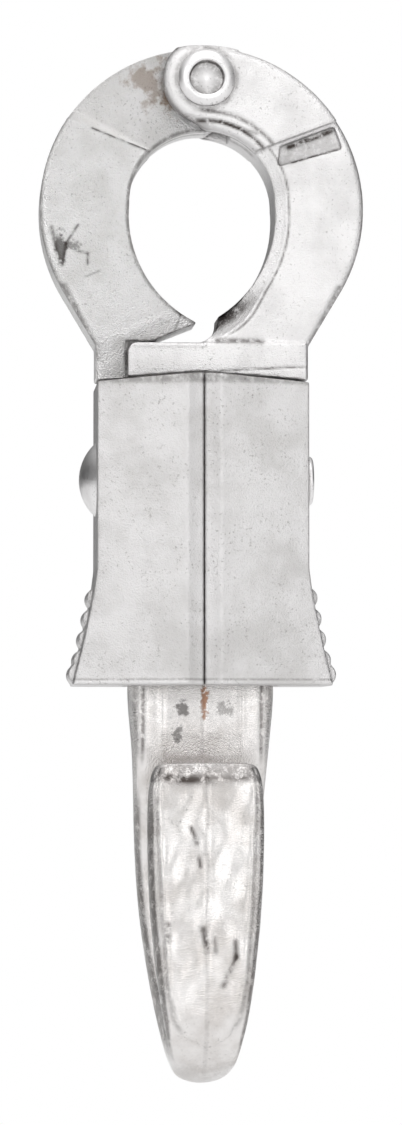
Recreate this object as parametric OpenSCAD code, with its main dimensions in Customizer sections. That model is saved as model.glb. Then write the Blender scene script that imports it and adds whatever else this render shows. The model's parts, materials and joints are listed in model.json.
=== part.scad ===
// Quick-release snap hook of plated castings: a hinged eye, a spring-loaded
// sleeve that locks it, and an open hook below.
// Millimetres. Origin: centre of the eye. +X right, +Y to the back, +Z up.

/* [Eye] */
// Radius of the round part of the eye
eye_r = 8.85; // [8.75:0.05:8.95]
// Outer radius of the ring that the two jaws form
ring_r = 19.7; // [19.5:0.1:19.9]
// How far the centre of the outer circle lies below the centre of the eye
ring_drop = 0.7; // [0.5:0.1:0.9]
// Thickness of the ring, front to back
ring_t = 8; // [7.8:0.1:8.2]
// How far each cheek of the hinge stands proud of the ring's face
cheek_proud = 0.6; // [0.4:0.1:0.8]
// Thickness of the swinging jaw's hinge tongue and foot
tongue_t = 5.2; // [5:0.1:5.3]
// Gap on each side of that tongue, inside the fork of the fixed jaw
fork_gap = 0.15; // [0.1:0.01:0.18]

/* [Hinge] */
// Sideways place of the hinge
pivot_x = 0.5; // [0.3:0.1:0.7]
// Height of the hinge above the centre of the eye
pivot_z = 15.1; // [15:0.05:15.2]
// Radius of the round ends of the cheeks and the tongue
knuckle_r = 5.3; // [5.2:0.1:5.4]
// Radius of the rivet's shank
rivet_r = 2.2; // [2.1:0.05:2.3]
// Radius of the rivet's head
rivet_head_r = 3.45; // [3.3:0.05:3.6]
// Height of the rivet's head
rivet_head_h = 0.9; // [0.7:0.1:1.1]

/* [Feet of the jaws] */
// Half width across the feet
foot_w = 12.9; // [12.8:0.1:13]
// Height at which the feet become straight
foot_top = -17.5; // [-17.6:0.1:-17.4]
// Underside of the feet at their outer ends
foot_bottom = -21.6; // [-21.65:0.05:-21.55]
// How far the underside rises towards the middle, and the sleeve's top edge with it
arch = 1; // [0.8:0.1:1.1]
// Left end of the bar that crosses in front of the left foot
bar_left = -9; // [-9.2:0.1:-8.8]
// Top of that bar
bar_top = -17.1; // [-17.2:0.05:-17.05]

/* [Sleeve] */
// Top edge of the sleeve at rest, at its outer ends
sleeve_top = -22.05; // [-22.1:0.05:-22]
// Bottom edge of the sleeve at rest
sleeve_bottom = -58.7; // [-58.8:0.1:-58.6]
// Half width of the sleeve's straight part
sleeve_w = 12.8; // [12.7:0.1:12.9]
// Half width of the flared foot without its thumb ribs
flare_w = 15.7; // [15.5:0.1:15.9]
// Height at which the flare begins
flare_top = -44.6; // [-45:0.1:-44.2]
// Half depth of the sleeve at its middle ridge
ridge_y = 8.3; // [8.2:0.1:8.4]
// Half width of the flat on the ridge
ridge_flat = 2.7; // [2.5:0.1:2.9]
// Thickness of the sleeve's wall
wall = 1.6; // [1.5:0.05:1.65]
// Gap between the two halves
seam_gap = 0.16; // [0.1:0.02:0.2]
// Number of thumb ribs on each side
ribs = 5; // [4:1:5]
// Distance between two ribs
rib_pitch = 2.5; // [2.45:0.05:2.55]
// Travel of the sleeve
travel = 8.5; // [8:0.1:8.6]

/* [Cross rivet of the sleeve] */
// Height of the cross rivet at rest
pin_z = -33.6; // [-33.7:0.05:-33.5]
// Radius of its shank
pin_r = 2; // [1.9:0.05:2.05]
// Radius of its domed head
dome_r = 4.5; // [4.3:0.1:4.6]
// Height of its domed head
dome_h = 2; // [1.8:0.1:2.2]
// Radius of its closed end
tail_r = 3; // [2.8:0.1:3.1]

/* [Hook] */
// Lowest point of the hook
hook_bottom = -107.1; // [-107.3:0.1:-106.9]
// Radius of the bowl that the load hangs in
bowl_r = 5.6; // [5.5:0.05:5.7]
// Height of the centre of the bowl
bowl_z = -93.6; // [-93.7:0.05:-93.5]
// Top of the nose
nose_top = -68; // [-68.1:0.05:-67.9]
// Half width of the neck below the sleeve
neck_w = 8.8; // [8.7:0.05:8.85]
// Half width of the hook where it begins to taper
hook_w = 7.6; // [7.5:0.05:7.7]

/* [Hidden] */
$fn = 96;

half_t = ring_t / 2;
cheek_y = half_t + cheek_proud;
tongue_half = tongue_t / 2;
fork_y = tongue_half + fork_gap;
bar_y = half_t + 0.4;
running = 0.05;          // radial clearance of a running fit
snug = 0.02;             // radial clearance of a tight fit
far = 60;                // larger than any part

// The lower eye is bounded by two large arcs that meet in a point.
lobe_x = 5.6;
lobe_z = -1.5;
lobe_r = 14.5;

// Line at which an arm ends and only its hinge plate goes on.
step_x = 6;
step_z = 6.1;
step_a = 21;

// Tip of the swinging jaw and the corner where its foot begins.
tip_x = -0.7;
tip_z = -14.7;
heel_x = -5.5;
heel_z = -16.6;
foot_gap = 0.25;

// Locking lug under the swinging jaw's foot, inside the sleeve's left wall.
lug_x = [-8, -5.5];
lug_y = [-1.6, 1.6];
lug_z = -23.3;

// Stem: the inner end of the hook casting.
stem_w = 8;
stem_y = 4.4;
stem_top = -22;
stem_low_top = -24.2;
tang_x = [0.5, 7.5];
tang_y = 2;
tang_z = -30;
tang_rivet_r = 1;
tang_rivet_x = [2.2, 6];
tang_rivet_z = -26.2;
slot_r = pin_r + 0.1;

// Spring in the bore of the stem.
bore_r = 2.5;
bore_z = -60;
plunger_r = 2.4;
plunger_h = 2.5;
plunger_z = pin_z - pin_r - running - plunger_h;
spring_r = 1.9;
wire_r = 0.35;
coils = 11;
spring_top = plunger_z - running;

// Shank, nose and neck of the hook, seen from the side.
bowl_y = -0.3;
bowl_outer_r = 12.9;
shank_y = 5.25;
nose_y = -12.4;
nose_back = -8;
lip_w = neck_w + 0.4;
lip_y = 5.6;
lip_t = 1.5;
rib_y = 4.7;             // half length of a thumb rib

function tangent_point(c, r, p) =
    let(d = norm(p - c), a = atan2(p.y - c.y, p.x - c.x) + acos(r / d))
    c + r * [cos(a), sin(a)];

// Half width of the tapering hook at a fraction t of the way down its taper.
taper_top = -78;
function taper_w(t) = hook_w * pow(1 - pow(t, 1.15), 0.35);

// Half width of the sleeve at height z.
function flare_at(z) = z > flare_top ? sleeve_w
    : sleeve_w + (flare_w - sleeve_w) * pow((flare_top - z) / (flare_top - sleeve_bottom), 1.25);

// 2-D outline in (x, z), made solid from y0 to y1.
module along_y(y0, y1) translate([0, y1, 0]) rotate([90, 0, 0]) linear_extrude(y1 - y0) children();

// 2-D outline in (y, z), made solid from x0 to x1.
module along_x(x0, x1) translate([x0, 0, 0]) rotate([90, 0, 90]) linear_extrude(x1 - x0) children();

module block(x, y, z) translate([x[0], y[0], z[0]]) cube([x[1] - x[0], y[1] - y[0], z[1] - z[0]]);

module rod_y(x, z, r, y0, y1) translate([x, y1, z]) rotate([90, 0, 0]) cylinder(r = r, h = y1 - y0);

module rod_x(y, z, r, x0, x1) translate([x0, y, z]) rotate([0, 90, 0]) cylinder(r = r, h = x1 - x0);

// ---- Eye -------------------------------------------------------------------

module eye_hole() {
    circle(eye_r);
    intersection() {
        translate([lobe_x, lobe_z]) circle(lobe_r);
        translate([-lobe_x, lobe_z]) circle(lobe_r);
        translate([-far / 2, -far]) square([far, far]);
    }
}

module ring_outline() {
    side = tangent_point([0, -ring_drop], ring_r, [foot_w, foot_top]);
    translate([0, -ring_drop]) circle(ring_r);
    polygon([[-side.x, side.y], [-foot_w, foot_top], [-foot_w, foot_bottom],
             [0, foot_bottom + arch], [foot_w, foot_bottom], [foot_w, foot_top], side]);
}

module below_step() translate([step_x, step_z]) rotate(step_a) translate([-far, -far]) square([2 * far, far]);

// Right arm of the ring, from its foot to the step.
module arm_outline(inner_x) {
    difference() {
        intersection() {
            ring_outline();
            below_step();
            translate([inner_x, -far]) square([far, 2 * far]);
        }
        eye_hole();
    }
}

// Round end of a hinge plate, with the straight edge that runs from it to the eye.
module hinge_end() {
    a = 236;
    start = [pivot_x, pivot_z] + (knuckle_r - 0.1) * [cos(a), sin(a)];
    intersection() {
        translate([pivot_x, pivot_z]) circle(knuckle_r);
        translate([0, -ring_drop]) circle(ring_r + 0.25);
    }
    polygon([[pivot_x, pivot_z], start, start + 4 * [-sin(a), cos(a)], [pivot_x + 3, pivot_z]]);
}

// Cheek of the fixed jaw: from the step over the top to its round end.
module cheek_outline() {
    difference() {
        union() {
            intersection() {
                ring_outline();
                translate([pivot_x, 0]) square([far, far]);
            }
            hinge_end();
        }
        eye_hole();
        below_step();
    }
}

// Middle layer of the swinging jaw, from its foot to the hinge.
module tongue_outline() {
    difference() {
        intersection() {
            ring_outline();
            translate([pivot_x - far, -far]) square([far, 2 * far]);
        }
        eye_hole();
        under_tip();
    }
}

// Space under the slanting lower edge of the swinging jaw's tip.
module under_tip() polygon([[far, tip_z + 1], [tip_x, tip_z + 1], [tip_x, tip_z], [heel_x, heel_z],
    [heel_x, -far], [far, -far]]);

// Middle of the fixed jaw between the cheeks, hollowed round for the tongue.
module fork_root_outline() {
    difference() {
        intersection() {
            ring_outline();
            translate([pivot_x + 3, 0]) square([far, far]);
        }
        eye_hole();
        translate([pivot_x, pivot_z]) circle(knuckle_r + 0.6);
    }
}

// Shallow pocket in an arm's face, just under the edge of its cheek.
module pocket_outline() polygon([[9.2, 4.5], [17.1, 6.7], [16.1, 9.5], [9.5, 6.95]]);

// Open space under the tip of the swinging jaw.
module throat() translate([-1, -14.2]) circle(2.95);

// Bar that crosses in front of the swinging jaw's foot, and the same at the back.
module bar_outline() {
    corner = 1.2;
    translate([bar_left + corner, bar_top - corner]) circle(corner);
    polygon([[bar_left, bar_top - corner], [bar_left, foot_bottom + arch * (1 + bar_left / foot_w)],
             [0, foot_bottom + arch], [foot_w - 0.2, foot_bottom],
             [foot_w - 0.2, bar_top], [bar_left + corner, bar_top], [bar_left + corner, bar_top - corner]]);
}

// The same outline as a layer at the front and a layer at the back.
module both_faces(y0, y1) {
    along_y(y0, y1) children();
    along_y(-y1, -y0) children();
}

module fixed_jaw() {
    core_x = 1.3;
    color([0.80, 0.79, 0.80]) difference() {
        union() {
            along_y(-half_t, half_t) difference() {
                arm_outline(core_x);
                throat();
            }
            both_faces(fork_y, half_t) difference() {
                arm_outline(-0.9);
                throat();
            }
            both_faces(fork_y, bar_y) bar_outline();
            both_faces(fork_y, cheek_y) cheek_outline();
            along_y(-fork_y - 0.5, fork_y + 0.5) fork_root_outline();
            block(tang_x, [-tang_y, tang_y], [tang_z, foot_bottom + 1.5]);
        }
        both_faces(half_t - 0.8, cheek_y + 1) pocket_outline();
        rod_y(pivot_x, pivot_z, rivet_r + snug, -far, far);
        for (x = tang_rivet_x) rod_y(x, tang_rivet_z, tang_rivet_r + snug, -far, far);
    }
}

// Full thickness of the swinging jaw, from just above the bars to its step.
module left_arm_outline() {
    low = heel_z - foot_gap;
    difference() {
        intersection() {
            ring_outline();
            mirror([1, 0]) below_step();
            translate([tip_x - far, low]) square([far, far]);
        }
        eye_hole();
        under_tip();
    }
}

module swing_jaw() {
    color([0.82, 0.81, 0.81]) difference() {
        union() {
            along_y(-half_t, half_t) left_arm_outline();
            along_y(-tongue_half, tongue_half) tongue_outline();
            along_y(-tongue_half, tongue_half) difference() {
                translate([2 * pivot_x, 0]) mirror([1, 0]) hinge_end();
                eye_hole();
            }
            block(lug_x, lug_y, [lug_z, foot_bottom + 1.5]);
        }
        rod_y(pivot_x, pivot_z, rivet_r + running, -far, far);
    }
}

module pivot_rivet() {
    color([0.84, 0.83, 0.83]) difference() {
        union() {
            rod_y(pivot_x, pivot_z, rivet_r, -cheek_y - rivet_head_h, cheek_y + rivet_head_h);
            // rolled front end
            rod_y(pivot_x, pivot_z, rivet_head_r, -cheek_y - rivet_head_h + 0.3, -cheek_y - 0.01);
            rod_y(pivot_x, pivot_z, rivet_head_r - 0.35, -cheek_y - rivet_head_h, -cheek_y - 0.01);
            // flat rear head
            rod_y(pivot_x, pivot_z, rivet_head_r, cheek_y + 0.05, cheek_y + rivet_head_h - 0.3);
            rod_y(pivot_x, pivot_z, rivet_head_r - 0.4, cheek_y + 0.05, cheek_y + rivet_head_h);
        }
        // hollow end with a conical floor
        rod_y(pivot_x, pivot_z, rivet_r - 0.15, -far, -cheek_y + 0.2);
        translate([pivot_x, -cheek_y + 0.8, pivot_z]) rotate([90, 0, 0])
            cylinder(r1 = 0.1, r2 = rivet_r - 0.15, h = 0.61);
    }
}

// ---- Sleeve ----------------------------------------------------------------

// Front view of the right half from x0 outwards, drawn in by d on its outside.
module half_front(x0, d, z0, z1) {
    steps = 6;
    polygon(concat(
        [[x0, z0], [x0, z1 + arch], [sleeve_w - d, z1]],
        [for (i = [0 : steps])
            let(z = flare_top + (sleeve_bottom - flare_top) * i / steps)
            [flare_at(z) - d, z == sleeve_bottom ? z0 : z]]
    ));
}

// Plan of the right half from x0 outwards, drawn in by d.
module half_plan(x0, d) {
    edge_x = 18;
    edge_y = 5.45;
    polygon([[x0, -ridge_y + d], [ridge_flat, -ridge_y + d], [edge_x, -edge_y + d],
             [edge_x, edge_y - d], [ridge_flat, ridge_y - d], [x0, ridge_y - d]]);
}

module rib_outline() {
    rib_r = 1.35;
    rib_out = 0.65;
    for (i = [0 : ribs - 1]) {
        z = sleeve_bottom + rib_r / 2 - 0.1 + rib_pitch * i;
        translate([flare_at(z) + rib_out - rib_r, max(z, sleeve_bottom + rib_r)]) circle(rib_r);
    }
}

module sleeve_half() {
    difference() {
        intersection() {
            union() {
                along_y(-far, far) half_front(seam_gap / 2, 0, sleeve_bottom, sleeve_top);
                along_y(-rib_y, rib_y) rib_outline();
            }
            translate([0, 0, sleeve_bottom]) linear_extrude(far)
                half_plan(seam_gap / 2, 0);
        }
        // cavity, open at the top
        intersection() {
            along_y(-far, far) half_front(-1, wall, sleeve_bottom - 1, sleeve_top + 3);
            translate([0, 0, sleeve_bottom + lip_t]) linear_extrude(far) half_plan(-1, wall);
        }
        // opening of the lip that slides on the neck
        block([-1, lip_w], [-lip_y, lip_y], [sleeve_bottom - 1, sleeve_bottom + lip_t + 1]);
        rod_x(0, pin_z, pin_r + snug, 0, far);
    }
}

module sleeve_right() color([0.78, 0.77, 0.78]) sleeve_half();

module sleeve_left() color([0.76, 0.75, 0.76]) mirror([1, 0, 0]) sleeve_half();

module sleeve_pin() {
    dome_sphere_r = (dome_r * dome_r + dome_h * dome_h) / (2 * dome_h);
    color([0.80, 0.79, 0.79]) {
        rod_x(0, pin_z, pin_r, -sleeve_w - 0.5, sleeve_w + 0.9);
        intersection() {
            translate([-sleeve_w - dome_h + dome_sphere_r, 0, pin_z]) sphere(dome_sphere_r);
            rod_x(0, pin_z, dome_r + 1, -sleeve_w - dome_h - 1, -sleeve_w - 0.02);
        }
        rod_x(0, pin_z, tail_r, sleeve_w + 0.02, sleeve_w + 0.6);
        rod_x(0, pin_z, tail_r - 0.4, sleeve_w + 0.02, sleeve_w + 1);
    }
}

module spring_plunger() {
    color([0.6, 0.6, 0.62]) translate([0, 0, plunger_z]) cylinder(r = plunger_r, h = plunger_h);
}

// Helical compression spring with its wire swept along the coil.
module return_spring() {
    sides = 6;
    steps = 12;
    n = coils * steps;
    low = bore_z + wire_r + 0.05;
    high = spring_top - wire_r;
    points = [for (i = [0 : n]) let(a = 360 * i / steps, z = low + (high - low) * i / n)
        for (k = [0 : sides - 1]) let(b = 360 * k / sides)
            [(spring_r + wire_r * cos(b)) * cos(a), (spring_r + wire_r * cos(b)) * sin(a),
             z + wire_r * sin(b)]];
    walls = [for (i = [0 : n - 1]) for (k = [0 : sides - 1]) let(m = (k + 1) % sides)
        for (f = [[i * sides + k, (i + 1) * sides + m, (i + 1) * sides + k],
                  [i * sides + k, i * sides + m, (i + 1) * sides + m]]) f];
    ends = [[for (k = [sides - 1 : -1 : 0]) k], [for (k = [0 : sides - 1]) n * sides + k]];
    color([0.55, 0.55, 0.57]) polyhedron(points, concat(walls, ends));
}

// ---- Hook ------------------------------------------------------------------

module hook_front() {
    steps = 14;
    right = concat(
        [[stem_w, stem_top], [stem_w, -46], [neck_w, -52], [neck_w, -59], [8.2, -65], [7.8, -71]],
        [for (i = [0 : steps - 1]) let(t = 1 - pow(1 - i / steps, 1.6))
            [taper_w(t), taper_top + (hook_bottom - taper_top) * t]],
        [[0, hook_bottom]]);
    left = [for (i = [len(right) - 2 : -1 : 1]) [-right[i].x, right[i].y]];
    polygon(concat(right, left, [[-stem_w, stem_low_top], [tang_x[0] - 1, stem_low_top],
        [tang_x[0] - 1, stem_top]]));
}

module hook_side() {
    difference() {
        union() {
            along_x(-far, far) polygon([[-stem_y, stem_top], [stem_y, stem_top], [stem_y, -63.5],
                [5.2, -67.4], [9.2, -73], [11.4, -78], [12.2, -84], [12.3, -92], [6, -100], [-8, -100],
                [-12.6, -96], [-13, -88], [nose_y, nose_top - 1.6], [nose_y + 1.4, nose_top],
                [-stem_y, nose_top]]);
            rod_x(bowl_y, hook_bottom + bowl_outer_r, bowl_outer_r, -far, far);
        }
        rod_x(bowl_y, bowl_z, bowl_r, -far - 1, far + 1);
        along_x(-far - 1, far + 1) polygon([[shank_y, bowl_z], [shank_y, -79], [2.9, -74],
            [-2.8, -68.4], [-stem_y, -65], [-stem_y - 1, -65], [-stem_y - 1, nose_top + 1],
            [nose_back - 0.4, nose_top + 1], [nose_back + 0.5, nose_top - 1],
            [bowl_y - bowl_r + 0.05, bowl_z]]);
    }
}

module hook_body() {
    color([0.72, 0.71, 0.70]) difference() {
        intersection() {
            along_y(-far, far) hook_front();
            hook_side();
        }
        // fork for the tang of the fixed jaw
        block([-1, stem_w + 1], [-tang_y - running, tang_y + running], [tang_z - running, stem_top + 1]);
        for (x = tang_rivet_x) rod_y(x, tang_rivet_z, tang_rivet_r + snug, -far, far);
        // slot that the cross rivet runs in
        rod_x(0, pin_z, slot_r, -far, far);
        rod_x(0, pin_z - travel, slot_r, -far, far);
        block([-far, far], [-slot_r, slot_r], [pin_z - travel, pin_z]);
        translate([0, 0, bore_z]) cylinder(r = bore_r, h = pin_z - bore_z);
    }
}

module tang_rivet(x) color([0.6, 0.6, 0.6]) rod_y(x, tang_rivet_z, tang_rivet_r, -stem_y, stem_y);

module tang_rivet_left() tang_rivet(tang_rivet_x[0]);

module tang_rivet_right() tang_rivet(tang_rivet_x[1]);

hook_body();
fixed_jaw();
swing_jaw();
pivot_rivet();
sleeve_left();
sleeve_right();
sleeve_pin();
spring_plunger();
return_spring();
tang_rivet_left();
tang_rivet_right();
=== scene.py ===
# %% [markdown]
# # A quick-release snap hook in plated castings
# The hook hangs from its eye. The eye is two cast jaws on a rivet, a spring-loaded
# sleeve below locks them shut, and an open hook carries the load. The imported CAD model
# gives every place and size; this lesson adds the soft cast edges, the lathe-turned
# rivets, the drawn-out hook and the worn plating.

# %% Load the frame
import json
import math

import bpy
import numpy as np
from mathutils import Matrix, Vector


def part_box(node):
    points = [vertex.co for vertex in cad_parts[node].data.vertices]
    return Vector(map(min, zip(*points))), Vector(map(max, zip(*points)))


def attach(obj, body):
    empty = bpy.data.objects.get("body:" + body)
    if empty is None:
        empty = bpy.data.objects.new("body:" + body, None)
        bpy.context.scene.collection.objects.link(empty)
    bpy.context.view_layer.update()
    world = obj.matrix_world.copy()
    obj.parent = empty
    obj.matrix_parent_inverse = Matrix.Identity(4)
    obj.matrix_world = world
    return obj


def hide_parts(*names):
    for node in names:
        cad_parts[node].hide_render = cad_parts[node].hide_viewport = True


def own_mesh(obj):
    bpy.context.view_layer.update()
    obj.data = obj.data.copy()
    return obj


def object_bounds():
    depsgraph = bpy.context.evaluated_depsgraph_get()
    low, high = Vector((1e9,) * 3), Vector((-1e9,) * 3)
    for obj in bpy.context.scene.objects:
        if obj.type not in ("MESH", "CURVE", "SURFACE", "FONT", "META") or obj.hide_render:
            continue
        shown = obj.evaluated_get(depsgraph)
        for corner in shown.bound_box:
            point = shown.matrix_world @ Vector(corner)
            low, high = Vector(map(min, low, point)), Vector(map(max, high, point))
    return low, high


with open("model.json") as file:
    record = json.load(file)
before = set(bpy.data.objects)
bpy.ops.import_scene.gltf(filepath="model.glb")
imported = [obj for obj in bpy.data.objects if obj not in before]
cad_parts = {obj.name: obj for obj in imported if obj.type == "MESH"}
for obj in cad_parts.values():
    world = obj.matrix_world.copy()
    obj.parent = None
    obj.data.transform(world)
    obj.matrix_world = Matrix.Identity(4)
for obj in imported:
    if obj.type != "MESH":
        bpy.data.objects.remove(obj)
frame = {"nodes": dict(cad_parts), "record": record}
cad_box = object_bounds()
MM = 0.001
print("CAD box in mm:", [[round(v / MM, 2) for v in corner] for corner in cad_box])

# %% [markdown]
# ## Working by hand in a script
# Most modelling tools act on whatever is selected, so each step first drops the old
# selection. Small helpers keep that habit in one place: make one piece active, go into
# edit mode, pick elements by their place, and come back out.

# %% Selection helpers
def let_go():
    """Leaves edit mode and deselects everything."""
    if bpy.context.object and bpy.context.object.mode != "OBJECT":
        bpy.ops.object.mode_set(mode="OBJECT")
    bpy.ops.object.select_all(action="DESELECT")


def pick_up(piece):
    """Makes one piece the only selected and the active one."""
    let_go()
    piece.select_set(True)
    bpy.context.view_layer.objects.active = piece


def edit(piece, mode="EDGE"):
    """Enters edit mode on a piece with nothing selected."""
    pick_up(piece)
    bpy.ops.object.mode_set(mode="EDIT")
    bpy.ops.mesh.select_mode(type=mode)
    bpy.ops.mesh.select_all(action="DESELECT")


def apply_all(piece):
    """Applies every modifier of a piece, in order."""
    pick_up(piece)
    for modifier in list(piece.modifiers):
        bpy.ops.object.modifier_apply(modifier=modifier.name)


# %% [markdown]
# ## Castings from the CAD model
# The jaws and the sleeve already have their true shape in the CAD model, but with razor
# edges. A casting has a radius on every edge, because metal can't fill a sharp corner of
# a mould. So a copy is merged, remeshed to one skin of small even squares, and relaxed,
# which rounds all edges at once. The small squares can then be pushed in and out like
# clay for the low relief that a mould gives: rims, slopes and dips. Bevels would keep the
# faces flatter, but they break down where many small steps meet.

# %% Copy a CAD node and soften it
def relax_skin(piece, times):
    """Evens out a remeshed skin, which rounds its edges."""
    softer = piece.modifiers.new("relax", "SMOOTH")
    softer.factor = 0.5
    softer.iterations = times
    apply_all(piece)


def casting_from(node, name, relax=8, grid=0.2):
    """A copy of a CAD node's mesh as one skin of small squares with soft edges. grid is the
    size of the squares in mm, and relax how many times they are smoothed."""
    piece = bpy.data.objects.new(name, frame["nodes"][node].data.copy())
    bpy.context.collection.objects.link(piece)
    piece.data.materials.clear()
    edit(piece, "VERT")
    bpy.ops.mesh.select_all(action="SELECT")
    bpy.ops.mesh.remove_doubles(threshold=0.002 * MM)
    bpy.ops.object.mode_set(mode="OBJECT")
    piece.data.remesh_voxel_size = grid * MM
    bpy.ops.object.voxel_remesh()
    relax_skin(piece, relax)
    return piece


def grid_points(piece):
    """The vertices of a piece in mm as three arrays x, y, z."""
    flat = np.empty(len(piece.data.vertices) * 3)
    piece.data.vertices.foreach_get("co", flat)
    return (flat.reshape(-1, 3) / MM).T


def press(piece, x, y, z, grime_and_shade):
    """Puts the vertices at new places in mm and stores how much dirt and painted shade each one gets."""
    piece.data.vertices.foreach_set("co", (np.stack([x, y, z], axis=1) * MM).ravel())
    layer = piece.data.attributes.new("grime_and_shade", "FLOAT", "POINT")
    layer.data.foreach_set("value", np.clip(grime_and_shade, 0, 1))
    piece.data.update()


def rise(value, low, high):
    """Smooth step from 0 at low to 1 at high; low may be the larger one."""
    t = np.clip((value - low) / (high - low), 0, 1)
    return t * t * (3 - 2 * t)


def bump_at(value, centre, width):
    """A soft ridge of height 1 round centre."""
    return np.exp(-((value - centre) / width) ** 2)


def smooth_faces(piece, angle=35):
    """Smooth shading with hard breaks at edges sharper than angle."""
    pick_up(piece)
    bpy.ops.object.shade_smooth_by_angle(angle=math.radians(angle))


def finish_piece(piece, body, stands_for):
    """Attaches a piece to the body it rides on and hides the CAD nodes it stands for."""
    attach(piece, body)
    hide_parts(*stands_for)
    faces = len(piece.data.polygons)
    print(f"{piece.name}: {faces} faces, rides on {body}")


# %% [markdown]
# ## Camera
# The hook is seen nearly straight on, from a little to the left and from just below its
# middle, close enough that the roof of the eye shows. A long lens at about half a metre
# keeps that slight perspective.

# %% Camera
CAMERA_TURN = -3.9
CAMERA_TILT = -2.7
CAMERA_DISTANCE = 460.0
VIEW_HEIGHT = 137.2
VIEW_CENTRE = Vector((0.12, 0.0, -43.6))


def camera_back(turn, tilt):
    """Unit vector from the object to the camera."""
    a, e = math.radians(turn), math.radians(tilt)
    return Vector((math.sin(a) * math.cos(e), -math.cos(a) * math.cos(e), math.sin(e)))


lens = bpy.data.cameras.new("camera")
camera = bpy.data.objects.new("camera", lens)
bpy.context.collection.objects.link(camera)
back = camera_back(CAMERA_TURN, CAMERA_TILT)
camera.location = (VIEW_CENTRE + back * CAMERA_DISTANCE) * MM
camera.rotation_euler = back.to_track_quat("Z", "Y").to_euler()
lens.sensor_width = 36.0
lens.lens = lens.sensor_width / VIEW_HEIGHT * CAMERA_DISTANCE
lens.clip_start = 0.01
lens.clip_end = 20.0
bpy.context.scene.camera = camera
bpy.context.scene.view_settings.view_transform = "Standard"
print("lens", round(lens.lens, 1), "mm")

# %% [markdown]
# ## Lamps
# Large soft boxes give the flat faces one even tone, and two narrow strips draw the long
# bright lines down the bends. A box is set by how bright its face looks and not by its
# watts, so that one can be resized without changing the exposure.

# %% Soft boxes and strips
def place_light(name, place, size, glow):
    """A soft box at place (mm) that looks at the middle of the object. glow is how bright
    its face looks, with 1 for white paper."""
    lamp = bpy.data.lights.new(name, "AREA")
    lamp.shape = "RECTANGLE"
    lamp.size, lamp.size_y = size[0] * MM, size[1] * MM
    lamp.energy = glow * math.pi * lamp.size * lamp.size_y
    holder = bpy.data.objects.new(name, lamp)
    bpy.context.collection.objects.link(holder)
    holder.location = Vector(place) * MM
    aim = (VIEW_CENTRE - Vector(place)).normalized()
    holder.rotation_euler = aim.to_track_quat("-Z", "Y").to_euler()


place_light("soft_box_left", (-400, -420, 120), (160, 420), 1.6)
place_light("soft_box_right", (400, -430, 60), (140, 380), 1.45)
place_light("soft_box_near_lens", (0, -640, 60), (380, 420), 0.94)
place_light("strip_light_left", (-95, -600, -40), (26, 240), 1.7)
place_light("strip_light_right", (165, -600, -90), (34, 260), 1.5)
place_light("soft_box_top", (0, -160, 460), (420, 260), 1.6)
place_light("soft_box_below", (20, -260, -330), (110, 90), 2.6)

# %% [markdown]
# ## The tent around the object
# A polished part mirrors the whole room, so the room matters more than the lamps. The
# tent is light on the camera's side and above, and black to the sides, which gives every
# bright rim its dark line. The camera itself sees plain white.

# %% Surroundings
world = bpy.data.worlds.new("light_tent")
bpy.context.scene.world = world
world.use_nodes = True
tent = world.node_tree
tent.nodes.clear()


def tent_node(kind, **values):
    """A node of the light tent with its input defaults set by name."""
    made = tent.nodes.new(kind)
    for key, value in values.items():
        setattr(made, key, value)
    return made


def curve(value, stops):
    """A level read off a list of (place, level) stops."""
    ramp = tent_node("ShaderNodeValToRGB")
    for place, level in stops[1:-1]:
        ramp.color_ramp.elements.new(place)
    for element, (place, level) in zip(ramp.color_ramp.elements, stops):
        element.position = place
        element.color = (level, level, level, 1)
    tent.links.new(value, ramp.inputs["Fac"])
    return ramp.outputs["Color"]


def from_minus_one(value):
    """Maps -1 ... 1 to 0 ... 1."""
    made = tent_node("ShaderNodeMapRange")
    made.inputs["From Min"].default_value = -1.0
    tent.links.new(value, made.inputs["Value"])
    return made.outputs["Result"]


direction = tent_node("ShaderNodeTexCoord")
split = tent_node("ShaderNodeSeparateXYZ")
tent.links.new(direction.outputs["Generated"], split.inputs[0])
# from the camera's side of the tent (0) over its dark flanks to the backdrop (1)
around = curve(from_minus_one(split.outputs["Y"]), [
    (0.0, 0.64), (0.10, 0.66), (0.28, 0.58), (0.40, 0.22), (0.52, 0.04), (0.85, 0.04), (0.95, 0.12),
    (1.0, 0.30)])
# from the ground (0) over the horizon (0.5) to the roof (1)
upward = curve(from_minus_one(split.outputs["Z"]), [
    (0.0, 0.30), (0.40, 0.20), (0.48, 0.0), (0.62, 0.0), (0.80, 0.45), (1.0, 0.9)])
total = tent_node("ShaderNodeMath", operation="ADD")
tent.links.new(around, total.inputs[0])
tent.links.new(upward, total.inputs[1])
rays = tent_node("ShaderNodeLightPath")
seen = tent_node("ShaderNodeMix", data_type="FLOAT")
tent.links.new(rays.outputs["Is Camera Ray"], seen.inputs["Factor"])
tent.links.new(total.outputs[0], seen.inputs["A"])
seen.inputs["B"].default_value = 1.0
background = tent_node("ShaderNodeBackground")
background.inputs["Color"].default_value = (1, 1, 1, 1)
tent.links.new(seen.outputs["Result"], background.inputs["Strength"])
output = tent_node("ShaderNodeOutputWorld")
tent.links.new(background.outputs[0], output.inputs[0])

# %% [markdown]
# ## The floor
# A sheet of white paper a little below the hook throws soft light up at its underside.
# For the camera the sheet is burnt out to the same white as the tent.

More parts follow.
